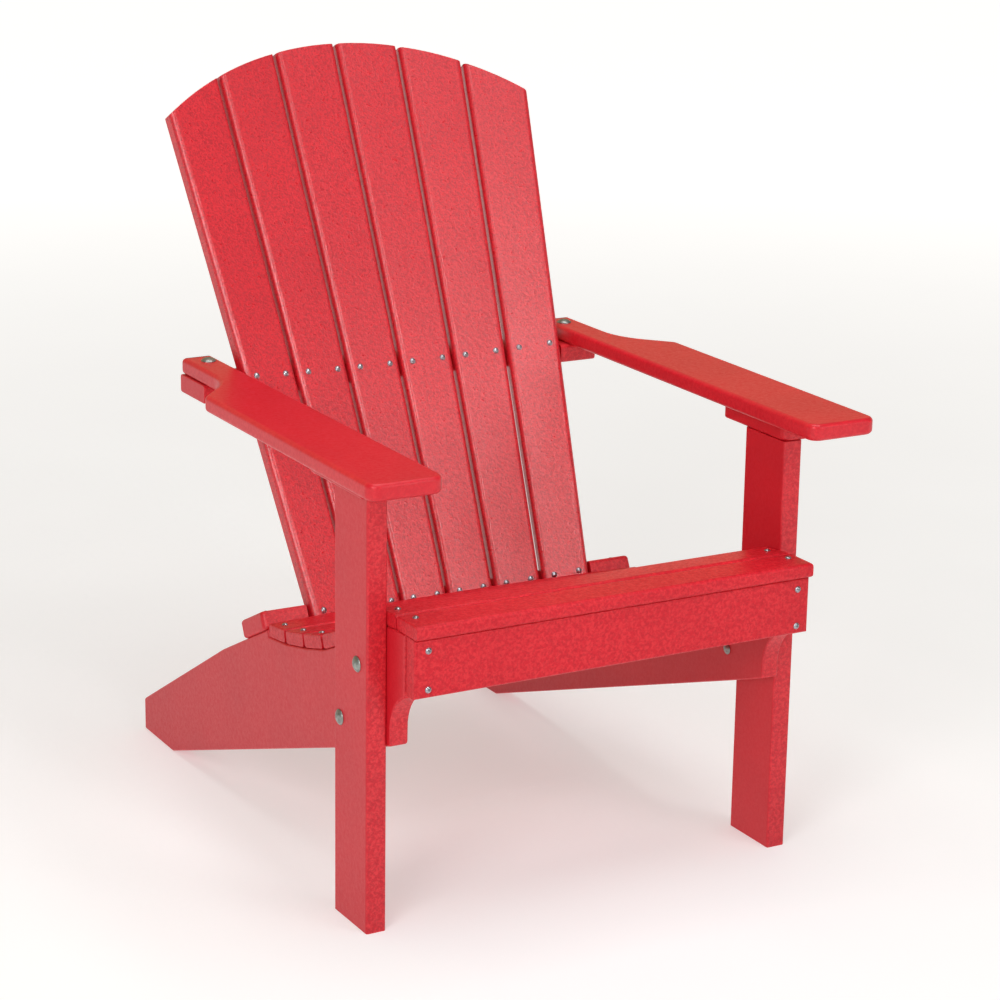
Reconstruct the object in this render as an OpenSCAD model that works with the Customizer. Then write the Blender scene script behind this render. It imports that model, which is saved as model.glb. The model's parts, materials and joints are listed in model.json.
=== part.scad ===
// Adirondack chair of flat composite boards, bolted and screwed together.
// X runs across the chair, -Y is its front and Z is up. The origin is on the
// floor, under the middle of the chair's outline. The boards are drawn from the
// front face of the front legs, where y = 0, and then moved back by y_mid.

/* [Chair] */
// Distance between the outer faces of the two front legs
frame_w = 623.6; // [600:0.1:640]
// Overall depth from the tips of the arms to the heels of the stringers
chair_d = 887; // [884:1:895]
// Thickness of the structural boards
board_t = 25.4; // [24:0.1:26]

/* [Front legs] */
// Thickness of a front leg
leg_t = 27.5; // [25.4:0.1:28.6]
// Height of a front leg
leg_h = 558.8; // [555:0.1:562]
// Width of a front leg, seen from the side
leg_d = 88.9; // [80:0.1:95]

/* [Stringers] */
// Toe-in of the stringers towards the rear, degrees
toe_in = 0.5; // [0:0.1:0.8]
// Length of the flat heel of a stringer on the floor
heel_l = 104; // [90:1:120]
// Height of the rear end of a stringer
heel_h = 47; // [40:1:55]
// Height of the knee where a stringer meets the lower back rail's plane
knee_z = 212; // [205:1:220]

/* [Arms] */
// Outer width across both arms
arms_w = 714; // [705:1:725]
// Width of an arm at its front
arm_w = 99; // [95:0.5:103]
// Thickness of an arm
arm_t = 22; // [18:0.5:26]
// How far an arm reaches in front of its leg
arm_overhang = 97; // [90:1:105]
// Overall length of an arm
arm_l = 673; // [665:1:680]
// Width of the narrow rear end of an arm
arm_tail_w = 43.5; // [40:0.5:46]
// Length of the narrow rear end of an arm
arm_tail_l = 104; // [95:1:110]
// Radius of the concave curve on the outer side of an arm
arm_cove_r = 100; // [90:1:110]
// Turn of that curve, degrees
arm_cove_turn = 42; // [38:1:46]
// Radius of an arm's front corners
arm_corner_r = 16; // [8:1:24]

/* [Seat] */
// Height of the front of the seat
seat_h = 418; // [414:0.5:420]
// How far the seat's front edge is in front of the legs
seat_nose = 75.5; // [74:0.5:78]
// Width of a seat slat
seat_slat_w = 51; // [49:0.5:51]
// Thickness of a seat slat
seat_slat_t = 19; // [17:0.5:20]
// Gap between two seat slats
seat_gap = 5.5; // [4:0.5:6]
// Steepest slope of the seat, just behind its crest, degrees
seat_steep = 33; // [31:0.5:34]
// How far the last slat's rear edge bulges backwards in the middle
seat_bulge = 18; // [4:1:20]
// Height of the front apron
apron_h = 74.5; // [70:0.5:78]

/* [Back] */
// Recline of the back from upright, degrees
recline = 26.3; // [26:0.1:26.6]
// Thickness of a back slat
back_slat_t = 19.5; // [17:0.5:21]
// Gap between two back slats
back_gap = 4; // [4:0.5:9]
// Spacing of the slats at the lower screws
pitch_low = 71.4; // [70:0.1:72]
// Spacing of the slats at the upper screws
pitch_high = 81.3; // [79:0.1:82]
// Radius of the shallow barrel in which the slats stand
barrel_r = 1300; // [1250:10:1600]
// Radius of the arc across the tops of the slats
top_arc_r = 455; // [440:1:470]
// Distance between the lower and the upper screws
screw_rows = 324.7; // [322:0.1:326]

/* [Fasteners] */
// Diameter of a carriage bolt
bolt_d = 9.5; // [8:0.5:10]
// Diameter of a carriage bolt's head
bolt_head_d = 20; // [18:0.5:22]
// Diameter of a deck screw
screw_d = 4.5; // [4:0.1:5]
// Diameter of a deck screw's head
screw_head_d = 8.5; // [7:0.1:9.5]

/* [Hidden] */
$fn = 48;
// Steps in each rounded corner of an outline, and in half of a long arc
corner_steps = 6;
arc_steps = 16;
// Larger than any board, for cutting
far = 1500;

// Main planes
y_mid = chair_d / 2 - arm_overhang;
leg_out = frame_w / 2;
leg_in = leg_out - leg_t;
heel_y = chair_d - arm_overhang;
arm_z = leg_h + board_t;

// Seat: slope of each slat, front to rear, and the width of the last one
seat_count = 8;
seat_slope = [
  0, 6.2, seat_steep, seat_steep - 3.5, seat_steep - 9.5, 15.1, 12.4, 6.7
];
seat_last_w = 46.5;
// Gap at the closest edges of two slats that bend over the crest
crest_gap = 2;
// Clearance between a slat's end and the inner face of a leg
end_gap = 0.4;
seat_screw_x = 268;
seat_screw_l = 30;
// The first slat's screws are behind the apron, in the stringers
nose_screw_y = 34;

// Front apron
apron_back_y = -44.6;
apron_w = 567;
apron_top_z = seat_h - seat_slat_t;
apron_screw_x = 265.3;
apron_screw_inset = [14.4, 63.3];
apron_screw_l = 40;

// Nose of a stringer under the apron: a cove that ends in a vertical edge
nose_y = -7.5;
nose_cove_r = 60;
nose_cove_z = 264;
// Slope of a stringer's lower edge
stringer_slope = 19.47;

// Back, measured along the slats (s) and square to them (d)
low_s = 425.6;
high_s = low_s + screw_rows;
barrel_d = 204.6;
slat_bottom_s = 405;
top_arc_s = 757;
back_count = 6;
fan_rate = (pitch_high - pitch_low) / screw_rows;
low_screw_x = 18.4;
high_screw_x = 23.1;
back_screw_l = 38;

// Lower back rail, in the same measures
rail_s = 412;
rail_d0 = 190;
rail_w = 78;
rail_l = 568;
rail_corner_r = 8;
rail_recess_x = 218.5;
rail_screw_x = 267;
rail_screw_d = [215, 250];
rail_screw_l = 50;

// Upper back brace
brace_l = 604;
brace_y = 500;
brace_w = 78;
brace_recess_x = 246.5;

// Arm supports
support_w = 35.7;
support_l = 140;
support_corner_r = 12;
support_screw_x = leg_in + leg_t / 2;
support_down_y = [22, 68];
support_up_y = [104, 126];
support_down_l = 55;
support_up_l = 38;

// Bolts
leg_bolt_yz = [[26.3, 345.5], [73.2, 261.8]];
arm_bolt_x = 276;
arm_bolt_y = 544;
bolt_head_h = 5;
nut_d = 15;
nut_h = 3.5;
bolt_end = 1.5;
hole_play = 0.2;
screw_head_h = 2.8;
screw_tip_l = 5;

// Outline with rounded corners: each point is [x, y, radius]
function unit(v) = v / norm(v);
function turn(a) = a > 180 ? a - 360 : a < -180 ? a + 360 : a;
function corner(a, b, c, r) =
  let (u = unit(a - b), v = unit(c - b), half = acos(u * v) / 2)
  let (mid = b + unit(u + v) * r / sin(half))
  let (p = b + u * r / tan(half) - mid, q = b + v * r / tan(half) - mid)
  let (from = atan2(p.y, p.x), sweep = turn(atan2(q.y, q.x) - from))
  [for (i = [0:corner_steps])
    mid + r * [cos(from + sweep * i / corner_steps), sin(from + sweep * i / corner_steps)]];
function flat(p) = [p.x, p.y];
function outline(p) = [for (i = [0:len(p) - 1])
  each p[i].z == 0 ? [flat(p[i])] : corner(
    flat(p[(i + len(p) - 1) % len(p)]), flat(p[i]), flat(p[(i + 1) % len(p)]), p[i].z)];

// Seat line: the joint in front of slat i, on the seat's top surface
function bend(i) = seat_slope[i] - seat_slope[i - 1];
function edge_gap(i) =
  i == 0 || i == seat_count ? 0
  : bend(i) > 0 ? crest_gap / 2 + seat_slat_t * tan(bend(i) / 2)
  : seat_gap / 2;
function slat_w(i) = i == seat_count - 1 ? seat_last_w : seat_slat_w;
function along(i) = [cos(seat_slope[i]), -sin(seat_slope[i])];
function seat_joint(i) =
  i == 0 ? [-seat_nose, seat_h]
  : seat_joint(i - 1) + (edge_gap(i - 1) + slat_w(i - 1) + edge_gap(i)) * along(i - 1);
// The same joint on the underside of the slats, where the stringers carry them
function under_joint(i) =
  let (mean = (seat_slope[i] + seat_slope[i - 1]) / 2)
  seat_joint(i) - seat_slat_t / cos(bend(i) / 2) * [sin(mean), cos(mean)];
function seat_end_x(i) = i == 0 ? leg_in
  : leg_in - end_gap - max(0, seat_joint(i).x) * tan(toe_in);

// Back: [y, z] of a point at s along the slats and d behind the origin's plane
function back_yz(s, d) = [
  s * sin(recline) + d * cos(recline),
  s * cos(recline) - d * sin(recline)
];
function pitch(s) = pitch_low + fan_rate * (s - low_s);
function place(i) = i - (back_count - 1) / 2;
function slat_d(i) = barrel_d - pow(place(i) * pitch_high, 2) / (2 * barrel_r);
function fan(i) = atan(place(i) * fan_rate);
function yaw(i) = -place(i) * pitch_high / barrel_r * 180 / PI;
// Half width of a back slat at z along its own length
function slat_half(i, z) = (pitch(z * cos(fan(i))) - back_gap) / 2 * cos(fan(i)) / cos(yaw(i));
// Distance along a slat of the point x beside its middle, at the height s
function slat_z(i, s, x) = (s + x * cos(yaw(i)) * sin(fan(i))) / cos(fan(i));

module in_frame() {
  translate([0, -y_mid, 0]) children();
}

module both_sides() {
  children();
  mirror([1, 0, 0]) children();
}

// A board standing on edge, drawn in [y, z] and extruded in X
module upright_board(points, t) {
  rotate([90, 0, 90]) linear_extrude(t) polygon(points);
}

// Frames that carry their children to the back and to one of its slats
module back_frame() {
  rotate([-recline, 0, 0]) children();
}

module slat_frame(i) {
  back_frame()
    translate([place(i) * pitch(0), slat_d(i), 0])
    rotate([0, fan(i), 0]) rotate([0, 0, yaw(i)]) children();
}

// Everything in front of the rear faces of the back slats, out to half_x
module back_recess(half_x) {
  intersection() {
    intersection_for (i = [0:back_count - 1])
      slat_frame(i)
      translate([-far, back_slat_t - far, -far])
      cube([2 * far, far, 3 * far]);
    translate([-half_x, -far, 0]) cube([2 * half_x, 2 * far, 2 * far]);
  }
}

// Fasteners stand on z = 0 with their heads up
module pan_screw(l) {
  ball_r = (pow(screw_head_d / 2, 2) + pow(screw_head_h, 2)) / (2 * screw_head_h);
  intersection() {
    translate([0, 0, screw_head_h - ball_r]) sphere(ball_r);
    cylinder(h = screw_head_h, d = 2 * screw_head_d);
  }
  screw_shank(l);
}

module flat_screw(l) {
  translate([0, 0, -screw_head_h]) cylinder(h = screw_head_h, d1 = screw_d, d2 = screw_head_d);
  screw_shank(l);
}

module screw_shank(l) {
  translate([0, 0, screw_tip_l - l]) cylinder(h = l - screw_tip_l, d = screw_d);
  translate([0, 0, -l]) cylinder(h = screw_tip_l, d1 = 0.8, d2 = screw_d);
}

module screw_hole(l) {
  translate([0, 0, -l - hole_play]) cylinder(h = l + far, d = screw_d + hole_play);
}

module flat_screw_hole(l) {
  screw_hole(l);
  translate([0, 0, -screw_head_h - hole_play])
    cylinder(h = screw_head_h + hole_play, d1 = screw_d, d2 = screw_head_d + 2 * hole_play);
}

module carriage_bolt(l) {
  ball_r = (pow(bolt_head_d / 2, 2) + pow(bolt_head_h, 2)) / (2 * bolt_head_h);
  intersection() {
    translate([0, 0, bolt_head_h - ball_r]) sphere(ball_r);
    cylinder(h = bolt_head_h, d = 2 * bolt_head_d);
  }
  translate([0, 0, -l]) cylinder(h = l, d = bolt_d);
}

module bolt_hole(d = bolt_d) {
  translate([0, 0, -far]) cylinder(h = 2 * far, d = d + hole_play);
}

// A low round cap nut. z = 0 is the face that it is drawn up to.
module cap_nut() {
  ball_r = (pow(nut_d / 2, 2) + pow(nut_h, 2)) / (2 * nut_h);
  difference() {
    intersection() {
      translate([0, 0, ball_r - nut_h]) sphere(ball_r);
      translate([0, 0, -nut_h]) cylinder(h = nut_h, d = 2 * nut_d);
    }
    translate([0, 0, -bolt_end]) cylinder(h = far, d = bolt_d + hole_play);
  }
}

// Where the fasteners go. z = 0 is under each head.
module at_leg_bolts() {
  both_sides() for (p = leg_bolt_yz)
    translate([leg_out, p.x, p.y]) rotate([0, 90, 0]) children();
}

module at_arm_bolts() {
  both_sides() translate([arm_bolt_x, arm_bolt_y, arm_z + arm_t]) children();
}

module at_back_screws(i, s, half_x) {
  slat_frame(i) for (x = [-half_x, half_x])
    translate([x, 0, slat_z(i, s, x)]) rotate([90, 0, 0]) children();
}

module at_all_back_screws(s, half_x) {
  for (i = [0:back_count - 1]) at_back_screws(i, s, half_x) children();
}

module at_rail_screws() {
  both_sides() back_frame() for (d = rail_screw_d)
    translate([rail_screw_x, d, rail_s + board_t]) children();
}

module seat_slat_frame(i) {
  p = seat_joint(i) + edge_gap(i) * along(i);
  translate([0, p.x, p.y]) rotate([-seat_slope[i], 0, 0]) children();
}

module at_seat_screws(i) {
  y = i == 0 ? nose_screw_y : seat_slat_w / 2;
  both_sides() seat_slat_frame(i) translate([seat_screw_x, y, 0]) children();
}

module at_apron_screws() {
  both_sides() for (inset = apron_screw_inset)
    translate([apron_screw_x, apron_back_y - board_t, apron_top_z - inset])
    rotate([90, 0, 0]) children();
}

module at_support_down_screws() {
  both_sides() for (y = support_down_y)
    translate([support_screw_x, y, arm_z]) children();
}

module at_support_up_screws() {
  both_sides() for (y = support_up_y)
    translate([support_screw_x, y, leg_h]) rotate([180, 0, 0]) children();
}

// Front legs
module left_front_leg() {
  color("firebrick") in_frame() difference() {
    translate([leg_in, 0, 0]) cube([leg_t, leg_d, leg_h]);
    at_leg_bolts() bolt_hole();
    at_support_down_screws() screw_hole(support_down_l);
  }
}

module right_front_leg() {
  mirror([1, 0, 0]) left_front_leg();
}

// Stringers: each is a seat side and a rear leg in one board
module left_stringer() {
  seat_rear = seat_joint(seat_count) + 2 * along(seat_count - 1);
  last = seat_slope[seat_count - 1];
  under_rear = seat_rear - seat_slat_t * [sin(last), cos(last)];
  rail_front = back_yz(rail_s, rail_d0 - 2);
  step_foot = rail_front + (under_rear.y - rail_front.y) * [tan(recline), 1];
  rail_run = back_yz(rail_s, rail_d0 - 2 + far) - rail_front;
  knee = rail_front + rail_run * (knee_z - rail_front.y) / rail_run.y;
  heel_front_y = heel_y - heel_l;
  cove_top_a = acos(1 - (nose_y - apron_back_y) / nose_cove_r);
  rows = [
    [heel_front_y, 0, 6],
    [heel_y, 0, 3],
    [heel_y, heel_h, 5],
    [knee.x, knee.y, 8],
    [rail_front.x, rail_front.y, 0],
    [step_foot.x, step_foot.y, 0],
    for (i = [seat_count - 1:-1:1]) [under_joint(i).x, under_joint(i).y, 0],
    [apron_back_y, apron_top_z, 0],
    for (a = [cove_top_a:-cove_top_a / 8:0.01])
      [nose_y + nose_cove_r * (cos(a) - 1), nose_cove_z + nose_cove_r * sin(a), 0],
    [nose_y, (heel_front_y - nose_y) * tan(stringer_slope), 5]
  ];
  color("indianred") in_frame() difference() {
    translate([leg_in, 0, 0]) rotate([0, 0, toe_in]) translate([-board_t, 0, 0])
      upright_board(outline(rows), board_t);
    at_leg_bolts() bolt_hole();
    at_rail_screws() screw_hole(rail_screw_l);
    at_apron_screws() screw_hole(apron_screw_l);
    for (i = [0:seat_count - 1]) at_seat_screws(i) screw_hole(seat_screw_l);
  }
}

module right_stringer() {
  mirror([1, 0, 0]) left_stringer();
}

// Arm supports: flat blocks on the tops of the legs, under the arms
module left_arm_support() {
  color("indianred") in_frame() difference() {
    translate([leg_in, 0, leg_h]) linear_extrude(board_t) polygon(outline([
      [0, 0, support_corner_r],
      [support_w, 0, 3],
      [support_w, support_l, 3],
      [0, support_l, 3]
    ]));
    at_support_down_screws() flat_screw_hole(support_down_l);
    at_support_up_screws() screw_hole(support_up_l);
  }
}

module right_arm_support() {
  mirror([1, 0, 0]) left_arm_support();
}

// Arms: wide in front, with a cove on the outside that leads to a narrow tail
module left_armrest() {
  outer = arms_w / 2;
  inner = outer - arm_w;
  tail_x = inner + arm_tail_w;
  rear = arm_l - arm_overhang;
  cove_y = rear - arm_tail_l;
  cove = [for (i = [0:corner_steps])
    let (a = arm_cove_turn * i / corner_steps)
    [tail_x + arm_cove_r * (1 - cos(a)), cove_y - arm_cove_r * sin(a), 0]];
  cove_end = cove[corner_steps];
  shoulder_y = cove_end.y - (outer - cove_end.x) / tan(arm_cove_turn);
  color("tomato") in_frame() difference() {
    translate([0, 0, arm_z]) linear_extrude(arm_t) polygon(outline([
      [inner, -arm_overhang, arm_corner_r],
      [outer, -arm_overhang, arm_corner_r],
      [outer, shoulder_y, 14],
      each [for (i = [corner_steps:-1:0]) cove[i]],
      [tail_x, rear, 4],
      [inner, rear, 4]
    ]));
    at_arm_bolts() bolt_hole();
    at_support_up_screws() screw_hole(support_up_l);
  }
}

module right_armrest() {
  mirror([1, 0, 0]) left_armrest();
}

// Front apron, across the front ends of the stringers
module front_apron() {
  color("crimson") in_frame() difference() {
    translate([-apron_w / 2, apron_back_y - board_t, apron_top_z - apron_h])
      cube([apron_w, board_t, apron_h]);
    at_apron_screws() screw_hole(apron_screw_l);
  }
}

// Seat slats. The last one's rear edge is an arc that follows the curved back.
module seat_slat(i) {
  half = seat_end_x(i);
  w = slat_w(i);
  arc_r = (half * half + seat_bulge * seat_bulge) / (2 * seat_bulge);
  arc_a = asin(half / arc_r);
  rear_edge = i < seat_count - 1 ? [[half, w], [-half, w]] : [for (j = [arc_steps:-1:-arc_steps])
    let (a = arc_a * j / arc_steps)
    [arc_r * sin(a), w + seat_bulge - arc_r * (1 - cos(a))]];
  color("crimson") in_frame() difference() {
    seat_slat_frame(i) translate([0, 0, -seat_slat_t]) linear_extrude(seat_slat_t)
      polygon([[-half, 0], [half, 0], each rear_edge]);
    at_seat_screws(i) screw_hole(seat_screw_l);
  }
}

// Back slats: tapered boards that fan out and end on one arc
module back_slat(i) {
  z0 = slat_bottom_s / cos(fan(i));
  z1 = top_arc_s + top_arc_r;
  color("palevioletred") in_frame() difference() {
    intersection() {
      slat_frame(i) translate([0, back_slat_t, 0]) rotate([90, 0, 0])
        linear_extrude(back_slat_t) polygon([
          [-slat_half(i, z0), z0],
          [slat_half(i, z0), z0],
          [slat_half(i, z1), z1],
          [-slat_half(i, z1), z1]
        ]);
      back_frame() translate([0, far, 0]) rotate([90, 0, 0]) linear_extrude(2 * far) {
        translate([0, top_arc_s]) circle(top_arc_r, $fn = 96);
        translate([-top_arc_r / 2, 0]) square([top_arc_r, top_arc_s]);
      }
    }
    at_back_screws(i, low_s, low_screw_x) screw_hole(back_screw_l);
    at_back_screws(i, high_s, high_screw_x) screw_hole(back_screw_l);
  }
}

// Upper back brace: a level board behind the slats, under the tails of the arms
module upper_back_brace() {
  color("indianred") in_frame() difference() {
    translate([-brace_l / 2, brace_y, leg_h]) cube([brace_l, brace_w, board_t]);
    back_recess(brace_recess_x);
    at_arm_bolts() bolt_hole();
    at_all_back_screws(high_s, high_screw_x) screw_hole(back_screw_l);
  }
}

// Lower back rail: a board square to the slats, on the stringers
module lower_back_rail() {
  color("indianred") in_frame() difference() {
    back_frame() translate([0, 0, rail_s]) linear_extrude(board_t) polygon(outline([
      [-rail_l / 2, rail_d0, rail_corner_r],
      [rail_l / 2, rail_d0, rail_corner_r],
      [rail_l / 2, rail_d0 + rail_w, rail_corner_r],
      [-rail_l / 2, rail_d0 + rail_w, rail_corner_r]
    ]));
    back_recess(rail_recess_x);
    at_rail_screws() screw_hole(rail_screw_l);
    at_all_back_screws(low_s, low_screw_x) screw_hole(back_screw_l);
  }
}

// Carriage bolts, and the cap nuts on their ends
leg_grip = leg_t + board_t + leg_bolt_yz[1].x * tan(toe_in) + 0.1;
arm_grip = arm_t + board_t;

module leg_bolts() {
  color("silver") in_frame() at_leg_bolts()
    carriage_bolt(leg_grip + bolt_end);
}

module leg_bolt_nuts() {
  color("silver") in_frame() at_leg_bolts() translate([0, 0, -leg_grip]) cap_nut();
}

module arm_bolts() {
  color("silver") in_frame() at_arm_bolts()
    carriage_bolt(arm_grip + bolt_end);
}

module arm_bolt_nuts() {
  color("silver") in_frame() at_arm_bolts() translate([0, 0, -arm_grip]) cap_nut();
}

// Screws
module upper_back_screws() {
  color("lightgray") in_frame() at_all_back_screws(high_s, high_screw_x) pan_screw(back_screw_l);
}

module lower_back_screws() {
  color("lightgray") in_frame() at_all_back_screws(low_s, low_screw_x) pan_screw(back_screw_l);
}

module rail_screws() {
  color("lightgray") in_frame() at_rail_screws() pan_screw(rail_screw_l);
}

module seat_screws() {
  color("lightgray") in_frame() for (i = [0:seat_count - 1])
    at_seat_screws(i) pan_screw(seat_screw_l);
}

module apron_screws() {
  color("lightgray") in_frame() at_apron_screws() pan_screw(apron_screw_l);
}

module arm_support_screws() {
  color("lightgray") in_frame() {
    at_support_down_screws() flat_screw(support_down_l);
    at_support_up_screws() pan_screw(support_up_l);
  }
}

left_front_leg();
right_front_leg();
left_stringer();
right_stringer();
left_arm_support();
right_arm_support();
left_armrest();
right_armrest();
front_apron();
upper_back_brace();
lower_back_rail();
back_slat(0);  // back_slat_1
back_slat(1);  // back_slat_2
back_slat(2);  // back_slat_3
back_slat(3);  // back_slat_4
back_slat(4);  // back_slat_5
back_slat(5);  // back_slat_6
seat_slat(0);  // seat_slat_1
seat_slat(1);  // seat_slat_2
seat_slat(2);  // seat_slat_3
seat_slat(3);  // seat_slat_4
seat_slat(4);  // seat_slat_5
seat_slat(5);  // seat_slat_6
seat_slat(6);  // seat_slat_7
seat_slat(7);  // seat_slat_8
leg_bolts();
leg_bolt_nuts();
arm_bolts();
arm_bolt_nuts();
upper_back_screws();
lower_back_screws();
rail_screws();
seat_screws();
apron_screws();
arm_support_screws();
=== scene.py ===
"""Looks of the adirondack chair: rounded composite boards, bolts and screws, around the CAD frame."""
import json
import math

import bmesh
import bpy
import numpy as np
from mathutils import Matrix, Vector


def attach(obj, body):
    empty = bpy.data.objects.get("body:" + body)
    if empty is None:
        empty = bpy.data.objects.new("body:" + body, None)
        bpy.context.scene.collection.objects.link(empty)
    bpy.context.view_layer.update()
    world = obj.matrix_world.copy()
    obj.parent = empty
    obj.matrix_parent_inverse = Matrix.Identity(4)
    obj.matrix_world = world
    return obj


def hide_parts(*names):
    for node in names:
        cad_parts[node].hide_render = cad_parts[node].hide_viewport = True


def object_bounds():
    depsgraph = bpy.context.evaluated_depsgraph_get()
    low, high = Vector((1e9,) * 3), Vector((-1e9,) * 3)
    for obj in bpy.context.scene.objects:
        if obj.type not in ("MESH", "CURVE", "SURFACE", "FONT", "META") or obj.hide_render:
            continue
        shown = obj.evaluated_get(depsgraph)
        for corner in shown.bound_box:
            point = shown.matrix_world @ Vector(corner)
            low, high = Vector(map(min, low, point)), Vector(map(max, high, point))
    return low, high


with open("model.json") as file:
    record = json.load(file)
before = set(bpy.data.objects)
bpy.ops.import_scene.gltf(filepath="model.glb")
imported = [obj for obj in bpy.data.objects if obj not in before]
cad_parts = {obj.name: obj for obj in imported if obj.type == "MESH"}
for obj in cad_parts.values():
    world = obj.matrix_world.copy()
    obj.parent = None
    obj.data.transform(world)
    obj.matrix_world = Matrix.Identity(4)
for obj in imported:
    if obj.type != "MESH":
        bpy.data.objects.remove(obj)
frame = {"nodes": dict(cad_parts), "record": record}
cad_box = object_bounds()
MM = 0.001

# ---------------------------------------------------------------- camera
CAMERA_AZIMUTH = math.radians(29.495)
CAMERA_ELEVATION = math.radians(16.142)
CAMERA_ROLL = math.radians(0.928)
CAMERA_LENS = 103.95
CAMERA_DISTANCE = 3.8603
CAMERA_RIGHT = 0.05569
CAMERA_UP = -0.06572
SENSOR_WIDTH = 36
CAMERA_REACH = 50


def make_camera():
    """The photograph's camera, placed from the middle of the chair."""
    centre = (Vector(cad_box[0]) + Vector(cad_box[1])) / 2
    cos_e = math.cos(CAMERA_ELEVATION)
    back = Vector((
        -math.sin(CAMERA_AZIMUTH) * cos_e,
        -math.cos(CAMERA_AZIMUTH) * cos_e,
        math.sin(CAMERA_ELEVATION),
    ))
    right = (-back).cross(Vector((0, 0, 1))).normalized()
    up = back.cross(right)
    data = bpy.data.cameras.new("camera")
    data.lens = CAMERA_LENS
    data.sensor_width = SENSOR_WIDTH
    data.clip_end = CAMERA_REACH
    camera = bpy.data.objects.new("camera", data)
    bpy.context.scene.collection.objects.link(camera)
    place = centre + back * CAMERA_DISTANCE + right * CAMERA_RIGHT + up * CAMERA_UP
    turn = Matrix((right, up, back)).transposed().to_4x4()
    roll = Matrix.Rotation(CAMERA_ROLL, 4, "Z")
    camera.matrix_world = Matrix.Translation(place) @ turn @ roll
    bpy.context.scene.camera = camera


# ---------------------------------------------------------------- materials
BLOTCH_SCALE = 190
SPECK_SCALE = 330
CLOUD_SCALE = 7
GRIT_SCALE = 1100
WIDE_FACE_TEXTURE = 0.12
RED = (0.62, 0.009, 0.021)
DARK_RED = (0.40, 0.004, 0.013)
# Colour of the lighter blotches: partly the boards' own mottling, partly a painted highlight on the bumps of
# their stippled skin
LIGHT_RED_AND_SHEEN = (0.74, 0.028, 0.038)

# Noise values between which a pattern fades in
BLOTCH_FADE = (0.44, 0.56)
SPECK_FADE = (0.46, 0.64)
CLOUD_FADE = (0.4, 0.75)
ROUGHNESS_FADE = (0.3, 0.7)
METAL_FADE = (0.35, 0.65)
# How far a face looks along the wide axis, from a board's edge to its wide face
WIDE_FACE_FADE = (0.6, 0.98)

CLOUD_DEPTH = 0.2
ROUGHNESS_CHANGE = 0.07
GRIT_SHARE = 0.5
GRIT_HEIGHT = 0.25 * MM
SPECK_HEIGHT = 0.5 * MM
BLOTCH_HEIGHT = 1.2 * MM
METAL_SMOOTHER = 0.08
METAL_ROUGHER = 0.1
METAL_BUMP = 0.15
METAL_BUMP_HEIGHT = 0.2 * MM


def new_material(name):
    material = bpy.data.materials.new(name)
    material.use_nodes = True
    nodes = material.node_tree.nodes
    return material, nodes, material.node_tree.links, nodes["Principled BSDF"]


def noise(nodes, links, source, scale, detail, roughness, distortion=0):
    """The 0 to 1 output of a noise texture, with its features about 1 / scale metres wide."""
    texture = nodes.new("ShaderNodeTexNoise")
    texture.inputs["Scale"].default_value = scale
    texture.inputs["Detail"].default_value = detail
    texture.inputs["Roughness"].default_value = roughness
    texture.inputs["Distortion"].default_value = distortion
    links.new(source, texture.inputs["Vector"])
    return texture.outputs["Fac"]


def ramp(nodes, links, source, low, high, low_value=0.0, high_value=1.0):
    """A value that runs from low_value to high_value as the source runs from low to high."""
    remap = nodes.new("ShaderNodeMapRange")
    remap.inputs["From Min"].default_value = low
    remap.inputs["From Max"].default_value = high
    remap.inputs["To Min"].default_value = low_value
    remap.inputs["To Max"].default_value = high_value
    links.new(source, remap.inputs["Value"])
    return remap.outputs["Result"]


def blend_colour(nodes, links, factor, a, b):
    """A mix of two colours, each of which is plain or another node's output."""
    mix = nodes.new("ShaderNodeMix")
    mix.data_type = "RGBA"
    links.new(factor, mix.inputs["Factor"])
    for colour, socket in ((a, mix.inputs["A"]), (b, mix.inputs["B"])):
        if isinstance(colour, bpy.types.NodeSocket):
            links.new(colour, socket)
        else:
            socket.default_value = (*colour, 1)
    return mix.outputs["Result"]


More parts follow.
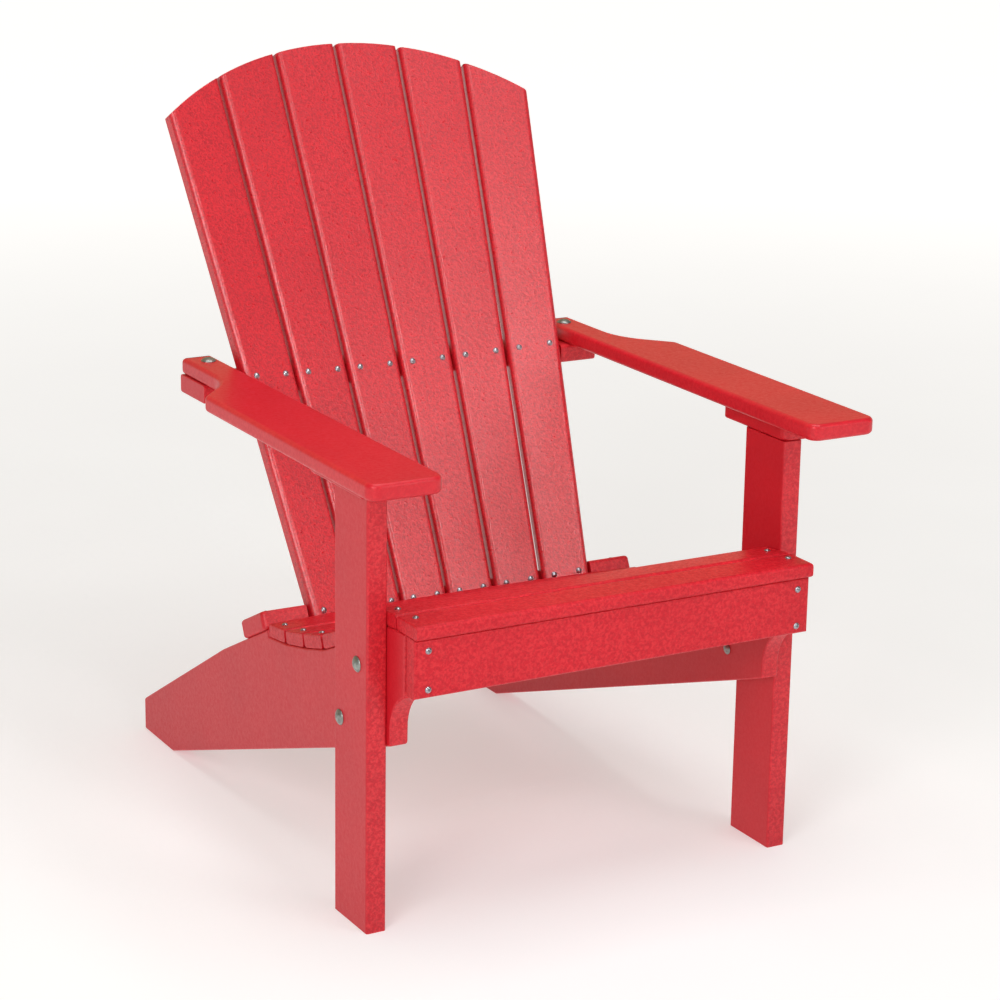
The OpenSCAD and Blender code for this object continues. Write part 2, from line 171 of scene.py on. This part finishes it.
def board_material(name, mottle_and_sheen, specks, roughness, gloss, texture, wide_axis=None):
    """Composite lumber: a solid colour with soft lighter blotches, fine dark specks and a stippled skin. The
    lighter blotches are partly the board's own mottling and partly a painted highlight on the bumps of its
    skin.
    With a wide_axis, the board's wide faces across that axis are smoother than its edges."""
    material, nodes, links, shader = new_material(name)
    source = nodes.new("ShaderNodeTexCoord").outputs["Object"]
    blotches = noise(nodes, links, source, BLOTCH_SCALE, 3, 0.6, distortion=0.6)
    dots = noise(nodes, links, source, SPECK_SCALE, 2, 0.55)
    cloud = noise(nodes, links, source, CLOUD_SCALE, 2, 0.5)
    grit = noise(nodes, links, source, GRIT_SCALE, 2, 0.5)
    # Lighter blotches: partly mottling, partly a painted highlight on the bumps that the same noise raises
    # below
    blotch_and_sheen_amount = ramp(nodes, links, blotches, *BLOTCH_FADE, 0, mottle_and_sheen)
    dot_amount = ramp(nodes, links, dots, *SPECK_FADE, 0, specks)
    if wide_axis:
        edge = edge_mask(nodes, links, wide_axis)
        blotch_and_sheen_amount = times(nodes, links, blotch_and_sheen_amount, edge)
        dot_amount = times(nodes, links, dot_amount, edge)
    colour = blend_colour(nodes, links, blotch_and_sheen_amount, RED, LIGHT_RED_AND_SHEEN)
    colour = blend_colour(nodes, links, dot_amount, colour, DARK_RED)
    cloud_amount = ramp(nodes, links, cloud, *CLOUD_FADE, 0, CLOUD_DEPTH)
    colour = blend_colour(nodes, links, cloud_amount, colour, DARK_RED)
    links.new(colour, shader.inputs["Base Color"])
    shader.inputs["Specular IOR Level"].default_value = gloss
    rougher = roughness + ROUGHNESS_CHANGE
    smoother = roughness - ROUGHNESS_CHANGE
    links.new(ramp(nodes, links, blotches, *ROUGHNESS_FADE, rougher, smoother), shader.inputs["Roughness"])
    skin = bump(nodes, links, grit, texture * GRIT_SHARE, GRIT_HEIGHT)
    skin = bump(nodes, links, dots, texture, SPECK_HEIGHT, skin)
    skin = bump(nodes, links, blotches, texture, BLOTCH_HEIGHT, skin)
    links.new(skin, shader.inputs["Normal"])
    return material


def bump(nodes, links, height, strength, distance, normal=None):
    node = nodes.new("ShaderNodeBump")
    node.inputs["Strength"].default_value = strength
    node.inputs["Distance"].default_value = distance
    links.new(height, node.inputs["Height"])
    if normal:
        links.new(normal, node.inputs["Normal"])
    return node.outputs["Normal"]


def times(nodes, links, a, b):
    node = nodes.new("ShaderNodeMath")
    node.operation = "MULTIPLY"
    links.new(a, node.inputs[0])
    links.new(b, node.inputs[1])
    return node.outputs["Value"]


def edge_mask(nodes, links, axis):
    """1 on a board's edges, and little on its wide faces, which look along the axis."""
    split = nodes.new("ShaderNodeSeparateXYZ")
    links.new(nodes.new("ShaderNodeNewGeometry").outputs["Normal"], split.inputs["Vector"])
    size = nodes.new("ShaderNodeMath")
    size.operation = "ABSOLUTE"
    links.new(split.outputs[axis], size.inputs[0])
    return ramp(nodes, links, size.outputs["Value"], *WIDE_FACE_FADE, 1, WIDE_FACE_TEXTURE)


def metal_material(name, base, dark, roughness, scale):
    """Plated or stainless steel, with patches that are darker and rougher."""
    material, nodes, links, shader = new_material(name)
    source = nodes.new("ShaderNodeTexCoord").outputs["Object"]
    patches = noise(nodes, links, source, scale, 4, 0.6)
    dullness = ramp(nodes, links, patches, *METAL_FADE)
    links.new(blend_colour(nodes, links, dullness, base, dark), shader.inputs["Base Color"])
    shader.inputs["Metallic"].default_value = 1
    smoother = roughness - METAL_SMOOTHER
    rougher = roughness + METAL_ROUGHER
    links.new(ramp(nodes, links, patches, *ROUGHNESS_FADE, smoother, rougher), shader.inputs["Roughness"])
    links.new(bump(nodes, links, patches, METAL_BUMP, METAL_BUMP_HEIGHT), shader.inputs["Normal"])
    return material


# name: mottle and painted sheen, specks, roughness, gloss, texture, wide axis; for metal: colours, roughness,
# scale
MATERIALS = {
    "back_board": board_material("back_board", 0.6, 0.8, 0.33, 0.90, 0.30),
    "seat_board": board_material("seat_board", 0.7, 0.45, 0.38, 0.29, 0.36),
    "frame_board": board_material("frame_board", 0.9, 0.5, 0.42, 0.45, 0.15, "X"),
    "arm_board": board_material("arm_board", 0.4, 0.2, 0.36, 0.40, 0.12, "Z"),
    "galvanised": metal_material("galvanised", (0.40, 0.42, 0.39), (0.24, 0.26, 0.24), 0.42, 260),
    "stainless": metal_material("stainless", (0.52, 0.53, 0.56), (0.30, 0.31, 0.34), 0.28, 500),
}


# ---------------------------------------------------------------- boards
WELD = 1e-6
SAME_OUTLINE = 1.5 * MM
RECESS_SIGN = 0.4 * MM
AREA_DIGITS = 8
REAR_SHARE = 0.19
ROUND_STEPS = 6
BOARD_SHARP_ANGLE = 40
LARGEST_FACE_WEIGHT = 100

# Cosines between two directions: above them, or below the opposite one, they count as in line
SAME_PLANE = 0.99999
OPPOSITE_PLANE = -0.999
STRAIGHT_ON = 0.999995
ALONG_GRAIN = 0.94
NEARLY_STRAIGHT = 0.9


def regions(bm):
    """The flat faces of a board, largest first: lists of triangles that lie in one plane and join up."""
    bm.faces.index_update()
    left = set(bm.faces)
    found = []
    for seed in sorted(bm.faces, key=lambda f: (-round(f.calc_area(), AREA_DIGITS), f.index)):
        if seed not in left:
            continue
        plane = seed.normal.copy()
        group = {seed}
        queue = [seed]
        while queue:
            face = queue.pop()
            for edge in face.edges:
                for other in edge.link_faces:
                    if other in left and other not in group and other.normal.dot(plane) > SAME_PLANE:
                        group.add(other)
                        queue.append(other)
        left -= group
        found.append(sorted(group, key=lambda f: f.index))
    return sorted(found, key=lambda g: -round(sum(f.calc_area() for f in g), AREA_DIGITS))


def outer_loop(group):
    """The corners of a flat face's outer edge, in order, anticlockwise about its normal."""
    follow = {}
    for face in group:
        for loop in face.loops:
            if not any(f in group for f in loop.edge.link_faces if f is not face):
                follow[loop.vert] = loop.link_loop_next.vert
    loops = []
    while follow:
        start, here = follow.popitem()
        chain = [start]
        while here is not start:
            chain.append(here)
            here = follow.pop(here)
        loops.append([v.co.copy() for v in chain])
    return max(loops, key=lambda c: sum((a - b).length for a, b in zip(c, c[1:] + c[:1])))


def drop_straight(points):
    """The same outline without the points that lie on straight stretches."""
    kept = []
    count = len(points)
    for i, here in enumerate(points):
        before = (here - points[i - 1]).normalized()
        after = (points[(i + 1) % count] - here).normalized()
        if before.dot(after) < STRAIGHT_ON:
            kept.append(here)
    return kept


def board_outlines(node):
    """The outlines of a board's two flat sides, matched corner by corner, and the first one's normal."""
    bm = bmesh.new()
    bm.from_mesh(frame["nodes"][node].data)
    bmesh.ops.remove_doubles(bm, verts=bm.verts, dist=WELD)
    bmesh.ops.recalc_face_normals(bm, faces=bm.faces)
    sides = regions(bm)
    normal = sides[0][0].normal.copy()
    far_side = next(g for g in sides[1:] if g[0].normal.dot(normal) < OPPOSITE_PLANE)
    first = drop_straight(outer_loop(sides[0]))
    second = outer_loop(far_side)
    bm.free()
    through = normal * (second[0] - first[0]).dot(normal)
    straight = [corner + through for corner in first]
    corners = drop_straight(second)[::-1]
    if all(min((corner - other).length for other in straight) < SAME_OUTLINE for corner in corners):
        return first, straight, normal
    if len(corners) != len(first):
        raise ValueError(f"{node}: its two sides have {len(first)} and {len(corners)} corners")
    turns = [corners[start:] + corners[:start] for start in range(len(corners))]
    return first, min(turns, key=lambda turn: sum((a - b).length for a, b in zip(turn, straight))), normal


def outward_ways(points, normal):
    """For each corner, the directions out of the board across the edges before and after it."""
    count = len(points)
    ways = []
    for i, here in enumerate(points):
        out_before = (here - points[i - 1]).normalized().cross(normal)
        out_after = (points[(i + 1) % count] - here).normalized().cross(normal)
        ways.append((out_before, out_after))
    return ways


def corner_move(ways, before, after):
    """The move in the board's plane that takes a corner in from its two edges by these insets."""
    a, b = ways
    cos = a.dot(b)
    if cos > NEARLY_STRAIGHT:
        return -(a + b) * (before + after) / 2 / (1 + cos)
    denominator = 1 - cos * cos
    return -a * ((before - after * cos) / denominator) - b * ((after - before * cos) / denominator)


def edge_inset(radius, depth):
    """How far a rounded edge is inside the board's outline, at a depth under the board's side."""
    if depth >= radius:
        return 0.0
    return radius - math.sqrt(radius * radius - (radius - depth) ** 2)


def ring_depths(radii):
    """The depths under a board's side at which its rounded edges need a ring of points."""
    depths = {0.0}
    for radius in radii:
        for step in range(1, ROUND_STEPS + 1):
            depths.add(radius * (1 - math.cos(math.pi / 2 * step / ROUND_STEPS)))
    return sorted(depths)


def edge_radii(points, normal, grain, long_radius, end_radius, recess_radius):
    """How far each edge of an outline is rounded: along the grain, across it, or sawn into the board."""
    radii = []
    for here, after in zip(points, points[1:] + points[:1]):
        way = (after - here).normalized()
        out = way.cross(normal)
        if recess_radius and any((p - here).dot(out) > RECESS_SIGN for p in points):
            radii.append(recess_radius)
        else:
            radii.append(long_radius if abs(way.dot(grain)) > ALONG_GRAIN else end_radius)
    return radii


def board_mesh(name, node, long_radius, end_radius, recess_radius=None, rear_share=1, grain=None):
    """A board with rounded edges on its CAD node's own outline. The edges of its rear side are
    rounded less, by rear_share."""
    first, second, normal = board_outlines(node)
    count = len(first)
    thickness = (first[0] - second[0]).dot(normal)
    if grain is None:
        grain = max((b - a for a, b in zip(first, first[1:])), key=lambda e: e.length).normalized()
    radii = edge_radii(first, normal, grain, long_radius, end_radius, recess_radius)
    shares = (1, rear_share) if normal.y < 0 else (rear_share, 1)
    near, far = [[r * share for r in radii] for share in shares]
    levels = ring_depths(set(near)) + [thickness - d for d in reversed(ring_depths(set(far)))]
    bm = bmesh.new()
    rings = []
    for level in levels:
        along = level / thickness
        depth = min(level, thickness - level)
        side = near if level < thickness / 2 else far
        ring = []
        base = [a.lerp(b, along) for a, b in zip(first, second)]
        ways = outward_ways(base, normal)
        for i in range(count):
            before = edge_inset(side[i - 1], depth)
            after = edge_inset(side[i], depth)
            ring.append(bm.verts.new(base[i] + corner_move(ways[i], before, after)))
        rings.append(ring)
    bm.faces.new(rings[0])
    bm.faces.new(rings[-1][::-1])
    for upper, lower in zip(rings, rings[1:]):
        for i in range(count):
            j = (i + 1) % count
            bm.faces.new((upper[j], upper[i], lower[i], lower[j]))
    bmesh.ops.recalc_face_normals(bm, faces=bm.faces)
    return finish_mesh(name, bm, BOARD_SHARP_ANGLE)


def finish_mesh(name, bm, sharp_angle):
    """An object from a bmesh, smooth except at edges sharper than the angle."""
    mesh = bpy.data.meshes.new(name)
    bm.to_mesh(mesh)
    bm.free()
    for polygon in mesh.polygons:
        polygon.use_smooth = True
    mesh.set_sharp_from_angle(angle=math.radians(sharp_angle))
    piece = bpy.data.objects.new(name, mesh)
    bpy.context.scene.collection.objects.link(piece)
    weigh = piece.modifiers.new("weighted", "WEIGHTED_NORMAL")
    weigh.keep_sharp = True
    weigh.weight = LARGEST_FACE_WEIGHT
    return piece


def dress(piece, node, slot):
    """Gives a piece its material, and puts it in its CAD node's place."""
    piece.data.materials.append(MATERIALS[slot])
    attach(piece, "root")
    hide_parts(node)


GRAIN_AXIS = {"x": Vector((1, 0, 0)), "y": Vector((0, 1, 0)), "z": Vector((0, 0, 1))}

# Radius in mm of a board's edges along its grain, across it, and where it is sawn out (0 where it
# isn't treated apart), and its grain's axis (None for the longest edge)
BOARD_EDGES = [
    ("front_leg", 3.2, 1.0, 0, "z"),
    ("stringer", 3.0, 3.0, 0, "y"),
    ("arm_support", 4.0, 4.0, 0, "y"),
    ("armrest", 6.0, 6.0, 0, "y"),
    ("front_apron", 4.5, 4.5, 0, "x"),
    ("upper_back_brace", 5.0, 2.0, 0.5, "x"),
    ("lower_back_rail", 5.0, 5.0, 0.5, "x"),
    ("seat_slat", 5.5, 3.0, 0, "x"),
    ("back_slat", 8.0, 0.8, 0, None),
]


def make_boards():
    """One board for each CAD node that is a board."""
    for part in frame["record"]["subparts"]:
        node = part["node"]
        for word, along_grain, across, recess, axis in BOARD_EDGES:
            if node.rstrip("_0123456789").endswith(word):
                rear_share = REAR_SHARE if word == "back_slat" else 1
                piece = board_mesh(
                    node + "_board", node, along_grain * MM, across * MM, recess * MM,
                    rear_share, GRAIN_AXIS.get(axis),
                )
                dress(piece, node, part["material_slot"])


# ---------------------------------------------------------------- fasteners
ROUND_SEGMENTS = 48
THREAD_LENGTH = 20 * MM
THREAD_PITCH = 1.6 * MM
THREAD_DEPTH = 0.45 * MM
RECESS_DEPTH = 1.5 * MM
RIM_SHARE = 0.98
DOME_STEPS = 8
BOLT_LIP = 0.9 * MM
NUT_LIP = 0.7 * MM
LIP_ROUNDING = 0.4
UNDERSIDE_ROUNDING = 0.3
BOLT_RIM_SHARES = (0.7, 0.25)
THREAD_START = 0.4
RECESS_SHARE = 0.48
RECESS_ARM_SHARPNESS = 5
RECESS_NARROWEST = 0.34
RECESS_FLOOR_SHARES = (0.55, 0.8)
SCREW_DOME_SHARES = (0.56, 0.68, 0.8, 0.9, 0.97)
SCREW_POINT_LENGTH = 5 * MM
SCREW_POINT_SHARE = 0.2
LOWEST_HEAD = 0.2 * MM
SCREW_RIM_SHARE = 0.12
SCREW_UNDERSIDE_SHARE = 0.98
SCREW_UNDERSIDE_DEPTH = 0.1 * MM
SCREW_NECK_DEPTH = 0.2 * MM
FASTENER_SHARP_ANGLE = 35
# Where a CAD shank's radius is read: near a bolt's end, and clear of a screw's point and head
BOLT_END = 1 * MM
SCREW_POINT_CLEARANCE = 4 * MM
SCREW_HEAD_CLEARANCE = 3 * MM


def islands(node):
    """The separate solids of a CAD node, each a list of its corners."""
    bm = bmesh.new()
    bm.from_mesh(frame["nodes"][node].data)
    bmesh.ops.remove_doubles(bm, verts=bm.verts, dist=WELD)
    left = set(bm.verts)
    found = []
    for seed in bm.verts:
        if seed not in left:
            continue
        left.discard(seed)
        group = [seed]
        queue = [seed]
        while queue:
            for edge in queue.pop().link_edges:
                for vert in edge.verts:
                    if vert in left:
                        left.discard(vert)
                        group.append(vert)
                        queue.append(vert)
        found.append([v.co.copy() for v in group])
    bm.free()
    return found


def fastener_place(points):
    """A round part's own frame, as a matrix: its origin on the axis and +Z along the axis."""
    centre = sum(points, Vector()) / len(points)
    spread = np.cov(np.array([p - centre for p in points]).T)
    sizes, ways = np.linalg.eigh(spread)
    odd = 0 if sizes[1] - sizes[0] > sizes[2] - sizes[1] else 2
    axis = Vector(ways[:, odd]).normalized()
    reach = [(p - centre).dot(axis) for p in points]
    radii = [((p - centre) - axis * r).length for p, r in zip(points, reach)]
    widest = max(radii)
    rim = [r for r, radius in zip(reach, radii) if radius > widest * RIM_SHARE]
    if sum(rim) / len(rim) < (max(reach) + min(reach)) / 2:
        axis = -axis
    corner = points[radii.index(widest)] - centre
    side = (corner - axis * corner.dot(axis)).normalized()
    turn = Matrix((side, axis.cross(side), axis)).transposed().to_4x4()
    return Matrix.Translation(centre) @ turn


def add_rings(bm, place, profile):
    """A turned surface. Each row of the profile is (radius, height), and a radius may be a function
    of the angle, and so may a height."""
    rings = []
    for radius, height in profile:
        ring = []
        for step in range(ROUND_SEGMENTS):
            angle = math.tau * step / ROUND_SEGMENTS
            r = radius(angle) if callable(radius) else radius
            z = height(angle) if callable(height) else height
            ring.append(bm.verts.new(place @ Vector((r * math.cos(angle), r * math.sin(angle), z))))
        rings.append(ring)
    bm.faces.new(rings[0])
    bm.faces.new(rings[-1][::-1])
    for upper, lower in zip(rings, rings[1:]):
        for i in range(ROUND_SEGMENTS):
            j = (i + 1) % ROUND_SEGMENTS
            bm.faces.new((upper[j], upper[i], lower[i], lower[j]))


def dome(radius, height, r):
    """The height of a shallow dome at a distance r from its axis."""
    ball = (radius * radius + height * height) / (2 * height)
    return height - ball + math.sqrt(ball * ball - r * r)


def dome_radii(radius):
    """The radii of a dome's rings, closer together towards its rim."""
    return [radius * math.sin(math.pi / 2 * step / DOME_STEPS) for step in range(1, DOME_STEPS + 1)]


def add_bolt(bm, place, low, rim, top, radius, shank):
    """A carriage bolt: a shallow dome with a thin rim, a plain shank and a threaded end."""
    lip = BOLT_LIP
    dome_height = top - rim - lip
    profile = []
    for r in dome_radii(radius - lip * LIP_ROUNDING):
        profile.append((r, rim + lip + dome(radius, dome_height, r)))
    profile += [(radius, rim + lip * share) for share in BOLT_RIM_SHARES]
    profile += [(radius - lip * UNDERSIDE_ROUNDING, rim), (shank, rim)]
    thread_top = low + THREAD_LENGTH
    profile.append((shank, thread_top + THREAD_PITCH))
    z = thread_top
    while z > low + THREAD_PITCH:
        profile += [(shank - THREAD_DEPTH, z), (shank, z - THREAD_PITCH / 2)]
        z -= THREAD_PITCH
    profile += [(shank - THREAD_DEPTH, low + THREAD_PITCH * THREAD_START), (shank - 2 * THREAD_DEPTH, low)]
    add_rings(bm, place, profile)


def drive_radius(size):
    """The outline of a cross recess, as a radius at each angle."""
    def radius(angle):
        arm = (math.cos(2 * angle) ** 2) ** RECESS_ARM_SHARPNESS
        return size * (RECESS_NARROWEST + (1 - RECESS_NARROWEST) * arm)
    return radius


def add_screw(bm, place, low, rim, top, radius, shank):
    """A screw with a low round head and a cross recess."""
    head_h = max(top - rim, LOWEST_HEAD)
    recess = drive_radius(radius * RECESS_SHARE)
    recess_floor = rim + head_h - RECESS_DEPTH

    def floor_radius(share):
        return lambda angle: recess(angle) * share

    def surface(angle):
        return rim + dome(radius, head_h, recess(angle))

    profile = [(floor_radius(share), recess_floor) for share in RECESS_FLOOR_SHARES]
    profile.append((recess, surface))
    for share in SCREW_DOME_SHARES:
        profile.append((radius * share, rim + dome(radius, head_h, radius * share)))
    profile.append((radius, rim + SCREW_RIM_SHARE * head_h))
    profile.append((radius * SCREW_UNDERSIDE_SHARE, rim - SCREW_UNDERSIDE_DEPTH))
    profile.append((shank, rim - SCREW_NECK_DEPTH))
    profile += [(shank, low + SCREW_POINT_LENGTH), (shank * SCREW_POINT_SHARE, low)]
    add_rings(bm, place, profile)


def add_cap_nut(bm, place, low, high, radius):
    """A low round cap nut: a thin rim flat on the board, and a dome over the bolt's end."""
    lip = NUT_LIP
    seat = high - lip
    profile = [(radius - lip * LIP_ROUNDING, high), (radius, high - lip * UNDERSIDE_ROUNDING), (radius, seat)]
    for r in reversed(dome_radii(radius - lip * LIP_ROUNDING)):
        profile.append((r, seat - dome(radius, seat - low, r)))
    add_rings(bm, place, profile)


def add_fastener(bm, kind, points):
    """One bolt, screw or nut, with the sizes and place of its CAD solid."""
    place = fastener_place(points)
    inside = place.inverted()
    local = [inside @ p for p in points]
    radii = [math.hypot(p.x, p.y) for p in local]
    low = min(p.z for p in local)
    top = max(p.z for p in local)
    radius = max(radii)
    rim = min(p.z for p, r in zip(local, radii) if r > radius * RIM_SHARE)
    if kind == "bolts":
        shank = max(r for p, r in zip(local, radii) if p.z < low + BOLT_END)
        add_bolt(bm, place, low, rim, top, radius, shank)
    elif kind == "screws":
        shank_low = low + SCREW_POINT_CLEARANCE
        shank_high = rim - SCREW_HEAD_CLEARANCE
        shank = max(r for p, r in zip(local, radii) if shank_low < p.z < shank_high)
        add_screw(bm, place, low, rim, top, radius, shank)
    else:
        add_cap_nut(bm, place, low, top, radius)


def make_fasteners():
    """One piece for each CAD node of fasteners, with all of its bolts, screws or nuts."""
    for part in frame["record"]["subparts"]:
        node = part["node"]
        kind = node.split("_")[-1]
        if kind not in ("bolts", "nuts", "screws"):
            continue
        bm = bmesh.new()
        for points in islands(node):
            add_fastener(bm, kind, points)
        bmesh.ops.recalc_face_normals(bm, faces=bm.faces)
        dress(finish_mesh(node + "_detailed", bm, FASTENER_SHARP_ANGLE), node, part["material_slot"])


# ---------------------------------------------------------------- floor and light
FLOOR_SIZE = 60
FLOOR_GLOW = (0.42, 0.85)
FLOOR_GLOW_REACH = (1, 5)
FLOOR_DARK = (0.62, 0.62, 0.62)
FLOOR_PALE = (0.66, 0.66, 0.66)
FLOOR_CLOUD_SCALE = 3
FLOOR_ROUGHNESS = 0.9
WHITE = (1, 1, 1)


def make_floor():
    """A plain pale floor that glows more away from the chair, so that it ends in white."""
    bm = bmesh.new()
    bmesh.ops.create_grid(bm, x_segments=1, y_segments=1, size=FLOOR_SIZE / 2)
    floor = finish_mesh("floor", bm, BOARD_SHARP_ANGLE)
    material, nodes, links, shader = new_material("floor")
    source = nodes.new("ShaderNodeTexCoord").outputs["Object"]
    cloud = noise(nodes, links, source, FLOOR_CLOUD_SCALE, 2, 0.5)
    links.new(blend_colour(nodes, links, cloud, FLOOR_DARK, FLOOR_PALE), shader.inputs["Base Color"])
    shader.inputs["Roughness"].default_value = FLOOR_ROUGHNESS
    shader.inputs["Emission Color"].default_value = (*WHITE, 1)
    reach = nodes.new("ShaderNodeVectorMath")
    reach.operation = "LENGTH"
    links.new(source, reach.inputs[0])
    links.new(
        ramp(nodes, links, reach.outputs["Value"], *FLOOR_GLOW_REACH, *FLOOR_GLOW),
        shader.inputs["Emission Strength"],
    )
    floor.data.materials.append(material)


ROOM_FRONT = (0.18, 0.18, 0.18)
ROOM_BACK = (0.50, 0.40, 0.24)
ROOM_FRONT_Y = 0.2
ROOM_BACK_Y = 0.7
PAPER_GLOW = 1.1
# Name, azimuth, elevation, distance, size, radiance, colour and, if under 180, spread
SOFTBOXES = [
    ("front_softbox", 25, 20, 3.6, 1.2, 4.6, WHITE),
    ("back_rest_light", 4, 38, 3.4, 0.8, 0.2, WHITE, 18),
    ("top_softbox", 0, 80, 3.2, 2.4, 3.5, WHITE),
    ("left_softbox", -50, 24, 3.4, 1.3, 7.5, WHITE),
]


def add_softbox(name, azimuth, elevation, distance, size, radiance, colour, spread=180):
    """A square softbox that points at the chair. Azimuth 0 is in front of it, 90 on its left.
    A spread under 180 degrees is a grid on the softbox, which narrows its beam."""
    centre = (Vector(cad_box[0]) + Vector(cad_box[1])) / 2
    a = math.radians(azimuth)
    e = math.radians(elevation)
    way = Vector((math.sin(a) * math.cos(e), -math.cos(a) * math.cos(e), math.sin(e)))
    data = bpy.data.lights.new(name, "AREA")
    data.shape = "SQUARE"
    data.size = size
    data.energy = radiance * math.pi * size * size
    data.color = colour
    data.spread = math.radians(spread)
    light = bpy.data.objects.new(name, data)
    light.location = centre + way * distance
    light.rotation_euler = way.to_track_quat("Z", "Y").to_euler()
    bpy.context.scene.collection.objects.link(light)


def make_light():
    """A pale room that is darker behind the chair, white paper to the camera, and softboxes."""
    world = bpy.data.worlds.new("studio")
    bpy.context.scene.world = world
    world.use_nodes = True
    nodes = world.node_tree.nodes
    links = world.node_tree.links
    split = nodes.new("ShaderNodeSeparateXYZ")
    links.new(nodes.new("ShaderNodeTexCoord").outputs["Generated"], split.inputs["Vector"])
    behind = ramp(nodes, links, split.outputs["Y"], ROOM_FRONT_Y, ROOM_BACK_Y)
    room = nodes["Background"]
    links.new(blend_colour(nodes, links, behind, ROOM_FRONT, ROOM_BACK), room.inputs["Color"])
    room.inputs["Strength"].default_value = 1
    paper = nodes.new("ShaderNodeBackground")
    paper.inputs["Color"].default_value = (*WHITE, 1)
    paper.inputs["Strength"].default_value = PAPER_GLOW
    path = nodes.new("ShaderNodeLightPath")
    choose = nodes.new("ShaderNodeMixShader")
    links.new(path.outputs["Is Camera Ray"], choose.inputs["Fac"])
    links.new(room.outputs["Background"], choose.inputs[1])
    links.new(paper.outputs["Background"], choose.inputs[2])
    links.new(choose.outputs["Shader"], nodes["World Output"].inputs["Surface"])
    for softbox in SOFTBOXES:
        add_softbox(*softbox)
    bpy.context.scene.view_settings.view_transform = "Standard"


make_camera()
make_boards()
make_fasteners()
make_floor()
make_light()
